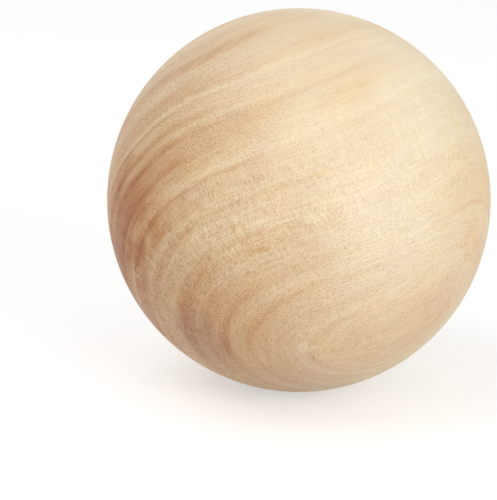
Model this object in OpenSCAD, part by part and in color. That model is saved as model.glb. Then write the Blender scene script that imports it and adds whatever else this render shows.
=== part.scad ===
// Plain wooden ball, turned from one blank and sanded smooth.
// Millimetres, +Z up, origin at the ball's centre.

/* [Ball] */
// Finished diameter, the same whichever way it is measured
ball_d = 80; // [20:1:120]

/* [Hidden] */
facets = 144;
wood_colour = [0.87, 0.77, 0.63];

// One solid ball, with no bore, plug or flat: it has no rest of its own and sits in a ring or a cup.
module ball() {
    color(wood_colour)
        sphere(d = ball_d, $fn = facets);
}

ball();
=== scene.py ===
import math

import bpy
import numpy as np
from mathutils import Matrix, Vector


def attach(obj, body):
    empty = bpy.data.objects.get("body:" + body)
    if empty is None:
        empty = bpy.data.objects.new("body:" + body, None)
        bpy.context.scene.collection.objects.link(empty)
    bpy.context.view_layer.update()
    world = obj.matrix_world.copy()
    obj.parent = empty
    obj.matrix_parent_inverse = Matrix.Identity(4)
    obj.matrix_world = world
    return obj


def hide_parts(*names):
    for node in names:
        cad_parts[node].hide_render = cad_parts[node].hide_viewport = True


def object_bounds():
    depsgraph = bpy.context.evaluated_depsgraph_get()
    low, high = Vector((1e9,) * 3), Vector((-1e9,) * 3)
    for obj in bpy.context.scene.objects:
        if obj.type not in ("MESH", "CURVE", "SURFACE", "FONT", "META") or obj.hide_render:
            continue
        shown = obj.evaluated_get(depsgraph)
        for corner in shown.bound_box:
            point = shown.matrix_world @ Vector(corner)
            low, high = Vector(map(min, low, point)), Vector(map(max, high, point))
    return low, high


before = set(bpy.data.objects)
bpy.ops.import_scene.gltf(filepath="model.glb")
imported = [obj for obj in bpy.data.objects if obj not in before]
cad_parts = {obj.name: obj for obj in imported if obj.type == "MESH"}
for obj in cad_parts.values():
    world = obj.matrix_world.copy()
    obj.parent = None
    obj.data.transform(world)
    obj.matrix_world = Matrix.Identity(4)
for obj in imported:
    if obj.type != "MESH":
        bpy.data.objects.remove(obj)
cad_low, cad_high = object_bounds()


# ---- The ball ----
# One solid ball of pale, close-grained hardwood, with no bore, plug or flat. It is turned between
# centres with the grain along the lathe, which leaves a small centre mark at each end of the grain,
# and is then sanded by hand and left bare, so its growth rings and rays show on the surface.

SANDED_OFF = 0.00003      # what the sanding takes below the true ball
BALL_RADIUS = (cad_high.x - cad_low.x) / 2 - SANDED_OFF
# The three directions of the wood are along the grain, from the ball's middle towards the pith, and
# across both. The turning axis is a little off the grain.
GRAIN = Vector((0.856, 0.433, 0.280)).normalized()
TO_PITH = Vector((0.516, -0.699, -0.496))
TO_PITH = (TO_PITH - GRAIN * TO_PITH.dot(GRAIN)).normalized()
ACROSS = GRAIN.cross(TO_PITH)
LATHE = (GRAIN - TO_PITH * 0.055 + ACROSS * 0.083).normalized()
MARK_RADIUS = 0.0005      # of the dip that the lathe's centre leaves at each end of the axis
MARK_DEPTH = 0.00015
MARK_RIM = 0.2            # how high its rim stands, as a share of the depth
SANDING_WAVE = 0.00002
CROWDED = 0.8             # how much closer the rows of the mesh lie at the ends, from 0 to 1


def turned_ball(name, radius, around=360, along=268):
    """A ball as a profile carried round the turning axis: at the turn a and the angle b from one end,
    a point is (cos b, sin b cos a, sin b sin a) times the radius, on the axis and two across it.
    Three slow waves that hand sanding leaves come off the radius, and each end has a centre mark: a
    dip and a raised rim round it, both as bell curves of the distance from the end. The steps keep the
    mesh under 200,000 triangles."""
    turn = np.arange(around) * (2 * math.pi / around)
    step = np.arange(1, along) / along
    slope = math.pi * step - CROWDED / 2 * np.sin(2 * math.pi * step)
    turns, slopes = np.meshgrid(turn, slope)
    grain = np.cos(slopes)
    pith = np.sin(slopes) * np.cos(turns)
    across = np.sin(slopes) * np.sin(turns)
    waves = np.sin(7 * grain + 4 * pith + 1.0) + np.sin(9 * pith - 5 * across + 2.0)
    waves = waves + np.sin(8 * across + 6 * grain + 4.0)
    from_end = radius * np.sin(slopes)
    from_mark = from_end / MARK_RADIUS
    mark = np.exp(-(from_mark ** 2)) - MARK_RIM * np.exp(-3 * (from_mark - 1.6) ** 2)
    reach = radius - SANDING_WAVE * (waves / 3 + 1) / 2 - MARK_DEPTH * mark
    rows = np.stack([grain, pith, across], axis=-1) * reach[..., None]
    ends = np.array([[1.0, 0.0, 0.0], [-1.0, 0.0, 0.0]]) * (radius - SANDING_WAVE - MARK_DEPTH)
    corners = np.concatenate([rows.reshape(-1, 3), ends])
    side = LATHE.cross(TO_PITH).normalized()
    corners = corners @ np.array([LATHE, side.cross(LATHE), side])
    row, column = np.meshgrid(np.arange(along - 2), np.arange(around), indexing="ij")
    here = row * around + column
    beside = row * around + (column + 1) % around
    quads = np.stack([here, here + around, beside + around, beside], axis=-1).reshape(-1, 4)
    column = np.arange(around)
    last = (along - 2) * around
    first_end, last_end = len(corners) - 2, len(corners) - 1
    caps = [np.stack([column * 0 + first_end, column, (column + 1) % around], axis=-1)]
    caps.append(np.stack([column * 0 + last_end, last + (column + 1) % around, last + column], axis=-1))
    mesh = bpy.data.meshes.new(name)
    mesh.from_pydata(corners.tolist(), [], quads.tolist() + np.concatenate(caps).tolist())
    mesh.polygons.foreach_set("use_smooth", np.ones(len(mesh.polygons), dtype=bool))
    made = bpy.data.objects.new(name, mesh)
    bpy.context.collection.objects.link(made)
    return made


class Value:
    """A socket of a material: + - * / and ** with another value or a number add Math nodes."""

    def __init__(self, tree, socket=None):
        self.tree = tree
        self.socket = socket

    def node(self, kind, settings, inputs, output=0):
        """Adds a node of any kind: its settings come first, then a number or a link for each input."""
        made = self.tree.nodes.new(kind)
        for name, setting in settings.items():
            setattr(made, name, setting)
        for name, value in inputs.items():
            if isinstance(value, Value):
                self.tree.links.new(value.socket, made.inputs[name])
            else:
                made.inputs[name].default_value = value
        return Value(self.tree, made.outputs[output] if len(made.outputs) else None)

    def math(self, operation, *values):
        """Adds a Math node of this operation."""
        return self.node("ShaderNodeMath", {"operation": operation}, dict(enumerate(values)))

    def vector(self, operation, *values, output="Vector"):
        """Adds a Vector Math node of this operation."""
        return self.node("ShaderNodeVectorMath", {"operation": operation}, dict(enumerate(values)), output)

    def __add__(self, other):
        return self.math("ADD", self, other)

    def __sub__(self, other):
        return self.math("SUBTRACT", self, other)

    def __rsub__(self, other):
        return self.math("SUBTRACT", other, self)

    def __mul__(self, other):
        return self.math("MULTIPLY", self, other)

    def __truediv__(self, other):
        return self.math("DIVIDE", self, other)

    def __rpow__(self, other):
        return self.math("POWER", other, self)

    __radd__ = __add__
    __rmul__ = __mul__


def rise(value, start, end):
    """0 before start and 1 after end, with a smooth step between."""
    ends = {"From Min": start, "From Max": end}
    return value.node("ShaderNodeMapRange", {"interpolation_type": "SMOOTHSTEP"}, {"Value": value, **ends})


def cloud(x, y, z, detail=0.0, rough=0.5):
    """Noise from about -0.5 to 0.5, with a blob for each unit of x, y and z."""
    place = x.node("ShaderNodeCombineXYZ", {}, {"X": x, "Y": y, "Z": z})
    settings = {"noise_dimensions": "3D", "normalize": True}
    inputs = {"Vector": place, "Scale": 1.0, "Detail": detail, "Roughness": rough}
    return x.node("ShaderNodeTexNoise", settings, inputs) - 0.5


def bell(value):
    """1 where the value is 0, falling away to each side as e to the minus its square."""
    return (1 / math.e) ** (value * value)


# Growth rings, in mm: how far from the pith, half width, how dark (below zero is pale), and where
# along the grain the ring starts and ends, from the ball's middle. The broad ones come first.
RINGS = [
    (7.0, 14.0, 0.22, -60, 60),
    (22.5, 5.0, 0.09, -60, -18),
    (30.5, 6.0, 0.20, -60, -29),
    (30.5, 6.0, 0.11, 14, 60),
    (33.0, 8.0, 0.13, -60, -10),
    (46.0, 7.0, 0.14, -60, -28),
    (47.0, 8.0, 0.09, -26, 10),
    (56.0, 6.0, -0.06, 22, 60),
    (60.0, 7.0, 0.18, -60, -15),
    (60.0, 5.5, 0.34, -60, -32),
    (60.0, 6.0, 0.07, -40, 18),
    (77.0, 12.0, 0.19, -60, 14),
    (13.0, 2.5, 0.05, -60, 60),
    (13.5, 2.5, 0.08, 4, 60),
    (16.6, 0.6, 0.12, -60, -12),
    (17.9, 0.6, -0.07, -18, -4),
    (19.0, 2.0, 0.06, -22, -6),
    (20.0, 4.0, 0.10, 18, 60),
    (20.4, 0.7, 0.08, -60, -17),
    (24.0, 3.0, 0.12, -60, -21),
    (24.2, 0.6, 0.10, -60, -25),
    (24.8, 0.4, 0.07, -24, -6),
    (26.8, 0.8, -0.09, -26, -14),
    (26.9, 0.5, 0.14, 12, 60),
    (28.8, 0.9, 0.22, -60, -29),
    (29.3, 1.1, 0.09, -28, -14),
    (32.5, 1.2, 0.16, -60, -30),
    (34.2, 0.6, -0.08, -34, -22),
    (35.8, 2.0, 0.07, -24, -16),
    (36.0, 3.0, 0.04, -8, 2),
    (36.6, 1.0, 0.16, -60, -33),
    (37.9, 1.4, 0.36, -60, -35),
    (38.3, 0.4, 0.08, -34, -19),
    (39.1, 0.3, 0.18, -60, -34),
    (40.4, 0.6, -0.05, -33, -18),
    (42.6, 0.4, 0.08, -60, -36),
    (43.4, 0.5, -0.08, -60, -30),
    (45.2, 1.1, 0.13, -60, -32),
    (45.5, 0.6, 0.06, -34, 2),
    (47.0, 0.6, -0.10, -60, -28),
    (49.4, 1.5, 0.22, -60, -32),
    (51.7, 1.0, 0.28, -60, -34),
    (52.2, 0.5, 0.16, -60, -18),
    (53.8, 1.0, -0.12, -33, -27),
    (53.9, 1.1, -0.08, -30, -14),
    (57.8, 0.4, 0.22, -60, -27),
    (61.7, 0.6, 0.08, -22, 12),
    (62.0, 0.5, 0.20, -60, -24),
    (63.7, 0.6, -0.13, -37, -8),
    (65.2, 0.6, 0.26, -60, -22),
    (66.7, 0.5, -0.06, -34, -20),
    (68.3, 0.4, 0.22, -60, -24),
    (69.0, 0.5, -0.03, -12, 10),
    (69.2, 0.5, -0.16, -32, -15),
    (70.3, 0.5, 0.10, -28, -4),
    (71.2, 1.0, 0.05, 2, 24),
    (71.5, 4.0, 0.10, 12, 60),
    (71.6, 1.2, 0.16, -30, -17),
    (72.6, 0.4, 0.18, -25, -20),
    (75.3, 1.2, -0.08, -34, -18),
    (77.9, 1.3, 0.20, -26, 2),
    (81.0, 1.5, 0.08, -16, 6),
    (85.5, 0.7, 0.16, -60, 60),
    (87.4, 0.4, 0.12, -60, 60),
    (88.9, 0.8, 0.15, -60, 60),
    (90.6, 0.3, 0.10, -60, 60),
]
# Stains, in mm: the middle along the grain, from the pith and across, the reach in each, how dark, and how
# warm (below zero is grey). One entry is not a stain but a painted highlight.
STAINS_AND_PAINTED_HIGHLIGHT = [
    (-39.5, 49.0, 2, 2.5, 3.0, 7, 0.20, 0.0),
    (-39.5, 58.0, 1, 2.5, 3.5, 7, 0.28, 0.5),
    (-39.4, 53.5, -6, 1.6, 3.0, 4, 0.32, 0.6),
    (-39.3, 58.5, -3, 2.5, 3.5, 8, 0.26, 0.3),
    (-39.2, 55.3, -7, 2.0, 1.2, 4, 0.32, 0.5),
    (-39.2, 56.5, -5, 1.5, 2.0, 4, 0.16, 0.4),
    (-39.2, 60, 10, 2.0, 5.0, 5, 0.16, 0.0),
    (-38.8, 52.3, -9, 2.0, 2.2, 4.5, 0.45, 0.5),
    (-38.6, 65.5, 2, 2.0, 3.5, 8, 0.32, -0.3),
    (-37.5, 50, 12, 3.0, 5.0, 5, 0.18, -0.4),
    (-37.5, 52, 14, 2.5, 5.0, 5, 0.14, 0.0),
    (-37, 44.5, 10, 2.0, 3.0, 6, 0.12, 0.0),
    (-37, 57.8, -14, 3.0, 2.3, 14, 0.40, 0.9),
    (-36.5, 49.2, -16, 2.0, 1.3, 6, 0.28, 0.4),
    (-36.5, 53.4, -13, 2.5, 0.8, 3, 0.22, 0.3),
    (-36.5, 55.3, -16, 2.5, 1.2, 6, 0.35, 0.3),
    (-36.5, 66, -11, 3.5, 3.0, 6, 0.32, 0.3),
    (-36, 51.8, -16, 2.2, 0.7, 8, 0.30, 0.4),
    (-36, 61.6, -16, 3.0, 1.7, 10, 0.32, 0.8),
    (-35.8, 38.2, -2, 1.6, 0.6, 7, 0.08, -0.2),
    (-35.8, 53.5, -17, 1.4, 0.9, 4, 0.16, 0.5),
    (-35.5, 38, 1, 1.6, 1.6, 5, 0.14, 0.0),
    (-35.3, 51, -18, 1.6, 1.4, 5, 0.26, 0.8),
    (-35, 35.5, -2, 2.0, 3.0, 7, 0.13, -0.2),
    (-35, 65.3, -16, 2.2, 0.8, 8, 0.32, 0.5),
    (-34.4, 54, -20, 2.0, 1.3, 3, 0.14, 0.4),
    (-34, 35, 4, 6, 6, 9, 0.06, -1.3),
    (-34, 66.8, -16, 2.0, 1.2, 4, 0.22, 0.4),
    (-34, 68.6, -12, 2.0, 0.6, 8, 0.22, 0.5),
    (-33.7, 67.3, -18, 2.0, 1.6, 4, 0.22, 0.3),
    (-33, 62.0, -18, 2.5, 0.5, 10, 0.22, 0.4),
    (-32, 30.7, 4, 1.5, 1.2, 3, 0.12, 0.0),
    (-32, 71.5, -14, 1.2, 1.5, 6, 0.12, 0.3),
    (-31.6, 29.6, 0, 1.3, 1.1, 5, 0.24, -0.5),
    (-30.8, 43, -21, 2.5, 2.2, 4, -0.12, 0.0),
    (-30.5, 27.7, -5, 1.5, 0.6, 3, -0.10, 0.0),
    (-30, 64.0, -18, 3.5, 1.5, 10, 0.14, 0.3),
    (-29.6, 32.8, -15, 2.0, 1.2, 3, -0.12, 0.0),
    (-29, 58.5, -27, 2.5, 1.2, 5, 0.12, 0.4),
    (-28.5, 37.6, -20, 2.5, 1.3, 4, -0.12, 0.0),
    (-28.5, 62.5, -27, 2.5, 1.0, 4, 0.14, 0.3),
    (-28, 24.9, -3, 2.5, 0.5, 7, 0.13, 0.4),
    (-27.5, 55, -29, 3.0, 2.0, 5, 0.10, 0.4),
    (-27.3, 24.2, 2, 2.0, 1.4, 3, -0.15, 0.0),
    (-26, 33, -19, 2.5, 0.9, 3, -0.10, 0.0),
    (-26, 66.5, -29, 3.0, 1.0, 4, 0.08, 0.2),
    (-25.5, 41, -25, 2.0, 0.7, 3, 0.10, 0.0),
    (-24, 35.2, -22, 2.0, 0.8, 2.5, 0.17, 0.4),
    (-22, 68, -28, 12, 8, 12, 0.0, 0.1),
    (-20, 20, 14, 14, 8, 12, 0.0, -0.7),
    (-20, 36, 0, 8, 6, 12, 0.0, 0.4),
    (-19, 17, -2, 1.5, 1.5, 2, -0.18, 0.0),
    (-18.5, 39, -27, 3.0, 0.7, 3, -0.09, 0.0),
    (-12, 38, -28, 2.0, 2.0, 3, -0.12, 0.0),
    (-12, 60, -38, 5.0, 1.4, 5, 0.10, 0.3),
    (-12, 77.3, -34, 7.0, 1.3, 6, 0.12, 0.2),
    (-10, 63, -38, 6.0, 1.6, 5, 0.08, 0.2),
    (-7, 45.7, -33, 3.0, 0.7, 3, 0.10, 0.4),
    (-3, 41, -31, 6.0, 1.2, 5, 0.07, 0.0),
    # A painted highlight: a greyer, whiter tint where the key lamp's sheen falls on the ball.
    (2, 41, -20, 7, 5, 12, 0.0, -0.5),
    (5, 57.5, -38, 7.0, 2.5, 6, 0.08, 0.5),
    (21, 20, -7, 6.0, 4.0, 8, 0.07, 0.4),
    (24, 34, -12, 9, 14, 16, 0.0, 0.5),
]
FADE = 7.0                # mm over which a ring comes in or goes at its ends
FADED = 0.09              # what is left of it beyond them
BROAD = 5.0               # a ring of this half width or more is a band of colour, which takes no streaks
WANDER = 0.7              # mm that a ring wanders, to each side
FRAY = 8.0                # mm that the streaks pull the end of a ring or a stain along the grain
PITH_AWAY = 51.4          # mm from the ball's middle to the pith
PITH_BOW = (0.0019, 0.0048)       # how fast the pith bends away, for each mm along the grain squared
BASE = 0.025              # how dark the palest wood is
PALE = (0.985, 0.862, 0.620)
STAIN = (0.597, 0.334, 0.206)     # what one unit of darkness leaves of each colour of the light
SHADE = (0.52, 0.34, 0.19)        # the same for the fine marks, which are greyer
WARM = (1.06, 1.06, 0.94)         # and for one unit of warmth
PALEST_MARK = -0.18       # the colour takes no fine mark paler than this
RELIEF = 0.00002          # height of one unit of the fine marks
MM = 1000.0


class Wood:
    """Where a point lies in the wood, in mm. along and aside count from the ball's middle, along the
    grain and across it, and near is the other way along. deep and wide count from the pith, which bends
    away as the square of along, and from_pith and angle are their distance and turn round it."""

    def __init__(self, place):
        turn = Matrix([GRAIN, TO_PITH, ACROSS]).to_euler()
        turned = {"Vector": place, "Rotation": turn, "Scale": (MM, MM, MM)}
        wood = place.node("ShaderNodeMapping", {"vector_type": "POINT"}, turned)
        self.along = wood.node("ShaderNodeSeparateXYZ", {}, {"Vector": wood}, "X")
        towards_pith = wood.node("ShaderNodeSeparateXYZ", {}, {"Vector": wood}, "Y")
        self.aside = wood.node("ShaderNodeSeparateXYZ", {}, {"Vector": wood}, "Z")
        self.near = self.along * -1
        squared = self.along * self.along
        self.deep = towards_pith - (squared * PITH_BOW[0] + PITH_AWAY)
        self.wide = self.aside + squared * PITH_BOW[1]
        self.from_pith = wood.math("SQRT", self.deep * self.deep + self.wide * self.wide)
        self.angle = wood.math("ARCTAN2", self.wide, self.deep)

    def blobs(self, length, width, detail=0.0, rough=0.5, shift=0):
        """A cloud whose blobs are this long along the grain and this wide across it. The shift slides it
        along the grain, so that no two clouds are alike."""
        return cloud(self.along / length + shift, self.deep / width, self.wide / width, detail, rough)


def growth_and_painted_light(wood):
    """How dark and how warm the growth rings, the stains and the painted highlight make the wood, with the
    painted shade at its near end, and the streaks along the rings.
    A ring is the bell curve of the distance from the pith, with a slow wander, and fades at its ends,
    which the streaks fray. A stain is the bell curve of a squared distance, so that it is flat on top."""
    wander = wood.blobs(14, 10, 2.0) * WANDER
    # The outer rings lie closer together, most of all at the far end of the grain.
    narrowing = rise(wood.along, -30, -8) * 1.1 + rise(wood.along, -8, 24) * 0.8
    ring_place = wood.from_pith + wander + rise(wood.from_pith, 58, 66) * narrowing
    streaks = cloud(wood.along / 12, ring_place / 0.9, wood.angle * 3, 2.0, 0.6)
    frayed = wood.along + streaks * FRAY
    strength = wood.blobs(9, 3, 1.0, shift=31) * 1.6 + 1
    # The wood is darker towards both ends of the grain, and most at the near one. At the far end this is
    # end grain. At the near end, which lies on the ball's shaded lower left, it is end grain and partly
    # painted shade.
    darkness = rise(wood.near, 18, 66) * 0.5 + rise(wood.near, 0, 28) * 0.15 + BASE
    darkness = darkness + rise(wood.along, 14, 38) * 0.1
    warmth = wood.blobs(9, 6, 1.0, shift=13) * 1.3 + rise(wood.near, 8, 34) * 0.15
    rings = 0
    for away, half_width, dark, first, last in RINGS:
        kept = rise(frayed, first - FADE, first + FADE) - rise(frayed, last - FADE, last + FADE)
        part = bell((ring_place - away) / half_width) * (kept * (dark * (1 - FADED)) + dark * FADED)
        if half_width < BROAD:
            rings = rings + part
        else:
            darkness = darkness + part
    place = frayed.node("ShaderNodeCombineXYZ", {}, {"X": frayed, "Y": ring_place, "Z": wood.aside})
    for along, away, aside, reach_along, reach_away, reach_aside, dark, warm in STAINS_AND_PAINTED_HIGHLIGHT:
        off = place.vector("SUBTRACT", place, (along, away, aside))
        off = off.vector("DIVIDE", off, (reach_along, reach_away, reach_aside))
        stain = bell(off.vector("DOT_PRODUCT", off, off, output="Value"))
        rings = rings + stain * dark
        warmth = warmth + stain * warm
    return darkness + rings * strength, warmth, ring_place, streaks


def fine_marks(wood, ring_place, near_end):
    """The fine marks that give the wood its grain and its relief: lines along the rings, fibres, grains,
    pits and rays, each a cloud of its own size. The second value is their shade, with the pores in it,
    and no mark in it is paler than PALEST_MARK."""
    lines = cloud(wood.along / 6, ring_place / 0.4, wood.angle * 8, 1.0, 0.6)
    fibres = wood.blobs(2, 0.2, 1.0, 0.6)
    grains = wood.blobs(0.2, 0.14)
    pits = wood.blobs(0.4, 0.33, 1.0, 0.7) * rise(wood.near, 29, 40) * rise(wood.from_pith, 42, 56)
    pores = rise(wood.blobs(0.7, 0.22), 0.17, 0.27)
    # Rays are short marks straight out from the pith, and show best where the cut runs along them.
    wave = cloud(wood.along / 4, wood.from_pith / 1.6, wood.angle * 25)
    quartered = (1 - rise(wood.from_pith, 48, 58)) * rise(wood.from_pith, 26, 36) * 0.8 + 0.2
    rays = cloud((wood.along + wave) / 0.32, wood.from_pith / 2.6, wood.angle * 50, 1.0, 0.5) * quartered
    # Where the rays are strong, the grains are weak.
    patches = rise(wood.blobs(3, 2.5, 1.0, shift=5), -0.15, 0.15) * 0.6 + 0.7
    grained = near_end * 1.4 + 2.6 - patches
    fine = lines * 0.65 + fibres * 0.35 + rays * patches + grains * grained + pits * 2.2
    return fine, fine.math("MAXIMUM", fine, PALEST_MARK) + pores * 0.5


def with_centre_marks(darkness, wood, place):
    """The lathe's centre bruises both ends of its axis: a dark dot, and round it a scuffed, pale ring.
    Both are bell curves of the distance from the axis, the length of the place's cross product with it."""
    off_axis = place.vector("CROSS_PRODUCT", place, LATHE)
    from_mark = off_axis.vector("LENGTH", off_axis, output="Value") / MARK_RADIUS
    scuffed = rise(wood.blobs(2, 0.9), -0.12, 0.08)
    pale_ring = bell((from_mark - 2) / 0.9) * scuffed * 0.65
    return darkness * (1 - pale_ring) + bell(from_mark / 0.8) * 0.25


def bare_wood():
    """Solid wood, all through the ball. The colour is PALE times STAIN, SHADE and WARM, each to the
    power of how much of it there is, as light loses colour in a thickness of stain."""
    material = bpy.data.materials.new("bare_wood")
    material.use_nodes = True
    tree = material.node_tree
    tree.nodes.clear()
    start = Value(tree)
    place = start.node("ShaderNodeTexCoord", {}, {}, "Object")
    wood = Wood(place)
    darkness, warmth, ring_place, streaks = growth_and_painted_light(wood)

    # The streaks and fine marks are coarse at the near end of the grain and faint at the far end.
    near_end = rise(wood.near, 2, 20) * rise(wood.from_pith, 50, 60)
    near_pith = 1 - rise(wood.from_pith, 20, 62)
    coarse = rise(wood.near, -8, 60) * 0.8 + near_pith * 0.2 + near_end * 0.15 + 0.24
    darkness = darkness + streaks * (coarse * 0.26 + 0.02) + wood.blobs(16, 8, 2.0, shift=7) * 0.09
    fine, shade = fine_marks(wood, ring_place, near_end)
    shade = shade * coarse
    darkness = with_centre_marks(darkness, wood, place)

    named = {}
    for name, pale, stain, grey, warm in zip(("Red", "Green", "Blue"), PALE, STAIN, SHADE, WARM):
        named[name] = stain ** darkness * pale * grey ** shade * warm ** warmth
    colour = start.node("ShaderNodeCombineColor", {"mode": "RGB"}, named)
    relief = start.node("ShaderNodeBump", {}, {"Height": fine, "Strength": 1.0, "Distance": RELIEF})
    finish = {"Roughness": 0.55, "Coat Weight": 0.12, "Coat Roughness": 0.2}
    surface = start.node("ShaderNodeBsdfPrincipled", {}, {"Base Color": colour, "Normal": relief, **finish})
    start.node("ShaderNodeOutputMaterial", {}, {"Surface": surface})
    return material


ball = turned_ball("turned_ball", BALL_RADIUS)
ball.data.materials.append(bare_wood())
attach(ball, "root")
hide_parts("ball")


# ---- The floor ----
# A plain white sheet under the ball, touching its lowest point. It is matt, takes the ball's soft
# shadow, and glows a little for the rays that see it, so that it runs into the white of the room.

FLOOR_REACH = 3.0
FLOOR_GREY = 0.73
FLOOR_GLOW = 0.48


def seen(start):
    """1 for a ray that sees the backdrop itself: from the camera, off a gloss, or through glass."""
    kinds = ("Is Camera Ray", "Is Glossy Ray", "Is Transmission Ray")
    return sum(start.node("ShaderNodeLightPath", {}, {}, kind) for kind in kinds)


def white_floor():
    """Matt white, with the glow added on top for the rays that see it."""
    material = bpy.data.materials.new("white_floor")
    material.use_nodes = True
    tree = material.node_tree
    tree.nodes.clear()
    start = Value(tree)
    matt = start.node("ShaderNodeBsdfDiffuse", {}, {"Color": (FLOOR_GREY, FLOOR_GREY, FLOOR_GREY, 1)})
    glow = {"Color": (1, 1, 1, 1), "Strength": seen(start) * FLOOR_GLOW}
    glow = start.node("ShaderNodeEmission", {}, glow)
    both = start.node("ShaderNodeAddShader", {}, {0: matt, 1: glow})
    start.node("ShaderNodeOutputMaterial", {}, {"Surface": both})
    return material


mesh = bpy.data.meshes.new("floor")
square = ((-1, -1), (1, -1), (1, 1), (-1, 1))
mesh.from_pydata([(x * FLOOR_REACH, y * FLOOR_REACH, cad_low.z) for x, y in square], [], [(0, 1, 2, 3)])
mesh.materials.append(white_floor())
floor = bpy.data.objects.new("floor", mesh)
bpy.context.collection.objects.link(floor)


# ---- Light ----
# Two soft round lamps, a low one at the right of the camera and a high one at the left, in a white
# room that gives an even light from all round.

ROOM_LIGHT = 0.52


def soft_lamp(name, azimuth, height, width, watts):
    """A round lamp 1 m from the ball's middle, facing it. Azimuth 0 is the camera's side and 90 the
    right, and the height is the angle above the floor, both in degrees."""
    turn = math.radians(azimuth)
    raised = math.radians(height)
    flat = math.cos(raised)
    place = Vector((math.sin(turn) * flat, -math.cos(turn) * flat, math.sin(raised)))
    data = bpy.data.lights.new(name, "AREA")
    data.shape = "DISK"
    data.size = width
    data.energy = watts
    lamp = bpy.data.objects.new(name, data)
    lamp.location = place
    lamp.rotation_mode = "QUATERNION"
    lamp.rotation_quaternion = place.to_track_quat("Z", "Y")
    bpy.context.collection.objects.link(lamp)


soft_lamp("key", 35, 17, 0.5, 3.85)
soft_lamp("fill", -70, 60, 0.8, 2.4)

world = bpy.data.worlds.new("white_room")
world.use_nodes = True
world.node_tree.nodes.clear()
start = Value(world.node_tree)
strength = start.math("MAXIMUM", seen(start), ROOM_LIGHT)
room = start.node("ShaderNodeBackground", {}, {"Color": (1, 1, 1, 1), "Strength": strength})
start.node("ShaderNodeOutputWorld", {}, {"Surface": room})
bpy.context.scene.world = world


# ---- Camera ----
# It looks a little down at the ball from far enough away that its outline is nearly its true
# circle, and is aimed so that the ball sits at the right and the top of the picture.

PICTURE_WIDTH, PICTURE_HEIGHT = 497, 500
BALL_CENTRE_PX = (298.35, 200.03)    # from the left and from the top
BALL_RADIUS_PX = 191.83
CAMERA_RAISED = math.radians(15)
CAMERA_AWAY = 13 * BALL_RADIUS
SENSOR = 36.0

to_camera = Vector((0, -math.cos(CAMERA_RAISED), math.sin(CAMERA_RAISED)))
right = Vector((1, 0, 0))
up = to_camera.cross(right)
lens_px = BALL_RADIUS_PX / math.tan(math.asin(BALL_RADIUS / CAMERA_AWAY))
off_right = PICTURE_WIDTH / 2 - BALL_CENTRE_PX[0]
off_up = BALL_CENTRE_PX[1] - PICTURE_HEIGHT / 2
aim = (right * off_right + up * off_up) * (CAMERA_AWAY / lens_px)
camera_data = bpy.data.cameras.new("camera")
camera_data.sensor_width = SENSOR
camera_data.lens = lens_px * SENSOR / PICTURE_HEIGHT
camera = bpy.data.objects.new("camera", camera_data)
camera.location = to_camera * CAMERA_AWAY
camera.rotation_mode = "QUATERNION"
camera.rotation_quaternion = (camera.location - aim).to_track_quat("Z", "Y")
bpy.context.collection.objects.link(camera)
bpy.context.scene.camera = camera

bpy.context.scene.view_settings.view_transform = "Standard"
